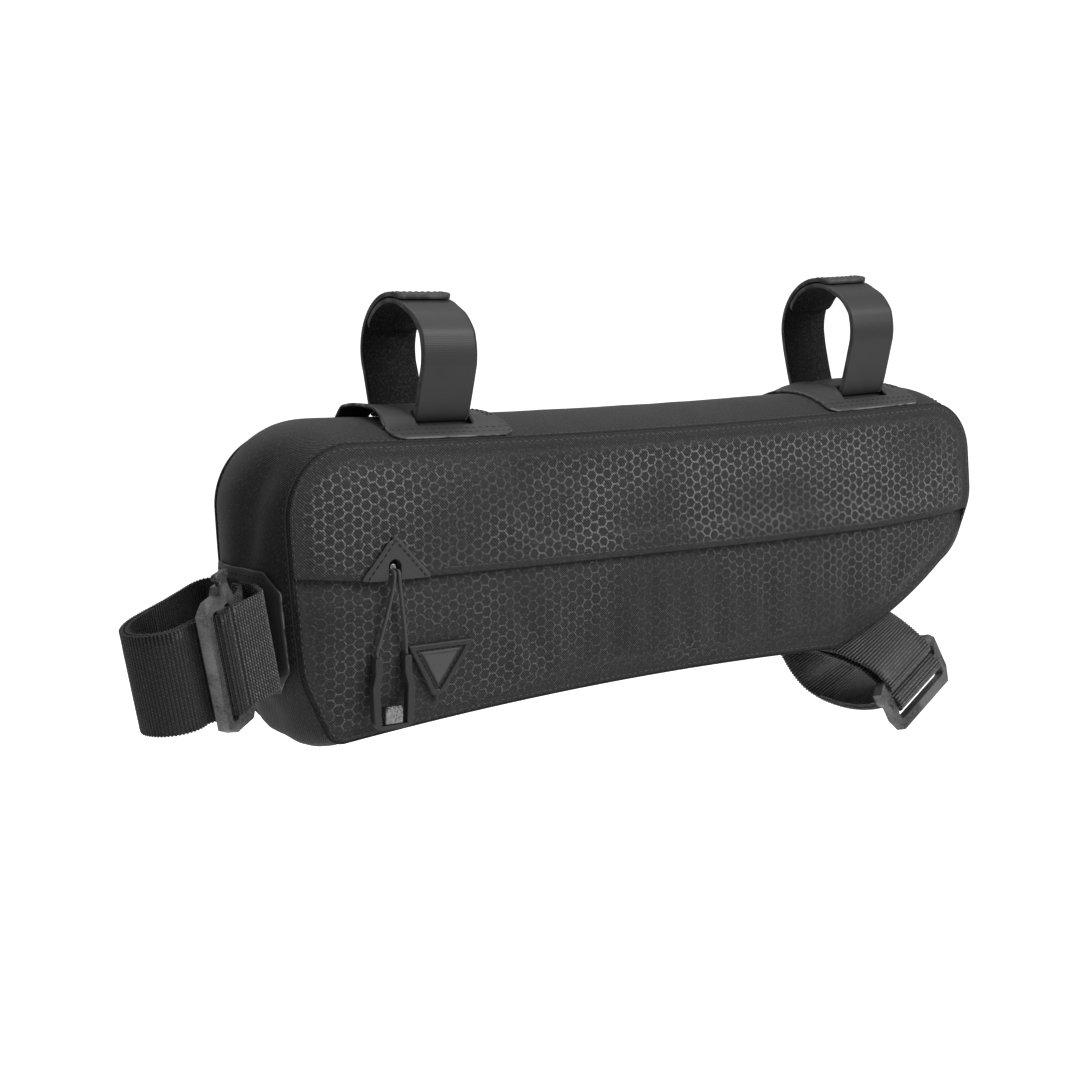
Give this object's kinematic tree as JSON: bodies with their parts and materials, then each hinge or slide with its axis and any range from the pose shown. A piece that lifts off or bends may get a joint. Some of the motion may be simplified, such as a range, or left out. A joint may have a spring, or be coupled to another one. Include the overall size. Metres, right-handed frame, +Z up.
{
  "type": "bicycle frame bag",
  "caption": "Long padded cloth bag that hangs in a bicycle frame under the top tube, held by hook-and-loop loops and webbing straps with ladder buckles.",
  "frame": {"origin": "on the axis of the bicycle's top tube, midway between the two top loops", "axes": "+X along the top tube towards the front of the bicycle, +Z up, -Y the side with the zip"},
  "size_m": [0.4308, 0.0864, 0.2007],
  "materials": {
    "coated_cloth": "near-black coated cloth with a fine diagonal weave, padded, stitched seams",
    "honeycomb_cloth": "charcoal cloth with a fine hexagon ripstop weave in lighter grey thread",
    "smooth_patch": "smooth matt coated patch with an inset stitch line and a raw cut edge",
    "zip_tape": "black woven zip tape",
    "slider_metal": "dark plated zip slider",
    "pull_cord": "thin braided dark-grey cord",
    "moulded_pull": "moulded matt black pull",
    "crimp_metal": "glossy grey block",
    "hook_and_loop": "black hook-and-loop strap, satin woven outside and dark pile inside",
    "ribbed_webbing": "black ribbed nylon webbing with a slight sheen",
    "buckle_metal": "dark-grey powder-coated ladder buckle, satin"
  },
  "bodies": {
    "root": {"gusset_band": "coated_cloth", "side_panel_back": "coated_cloth", "side_panel_upper": "honeycomb_cloth", "side_panel_lower": "honeycomb_cloth", "zip_strip": "zip_tape", "zip_slider": "slider_metal", "zip_garage": "smooth_patch", "badge_patch": "smooth_patch", "seat_anchor_patch": "smooth_patch", "top_anchor_rear": "smooth_patch", "top_anchor_front": "smooth_patch", "pull_cord_left": "pull_cord", "pull_cord_right": "pull_cord", "pull_handle": "moulded_pull", "pull_crimp": "crimp_metal", "top_loop_rear": "hook_and_loop", "top_loop_front": "hook_and_loop", "seat_strap": "ribbed_webbing", "seat_strap_tab": "ribbed_webbing", "down_strap": "ribbed_webbing", "down_strap_tab": "ribbed_webbing", "seat_buckle": "buckle_metal", "down_buckle": "buckle_metal"}
  },
  "joints": []
}
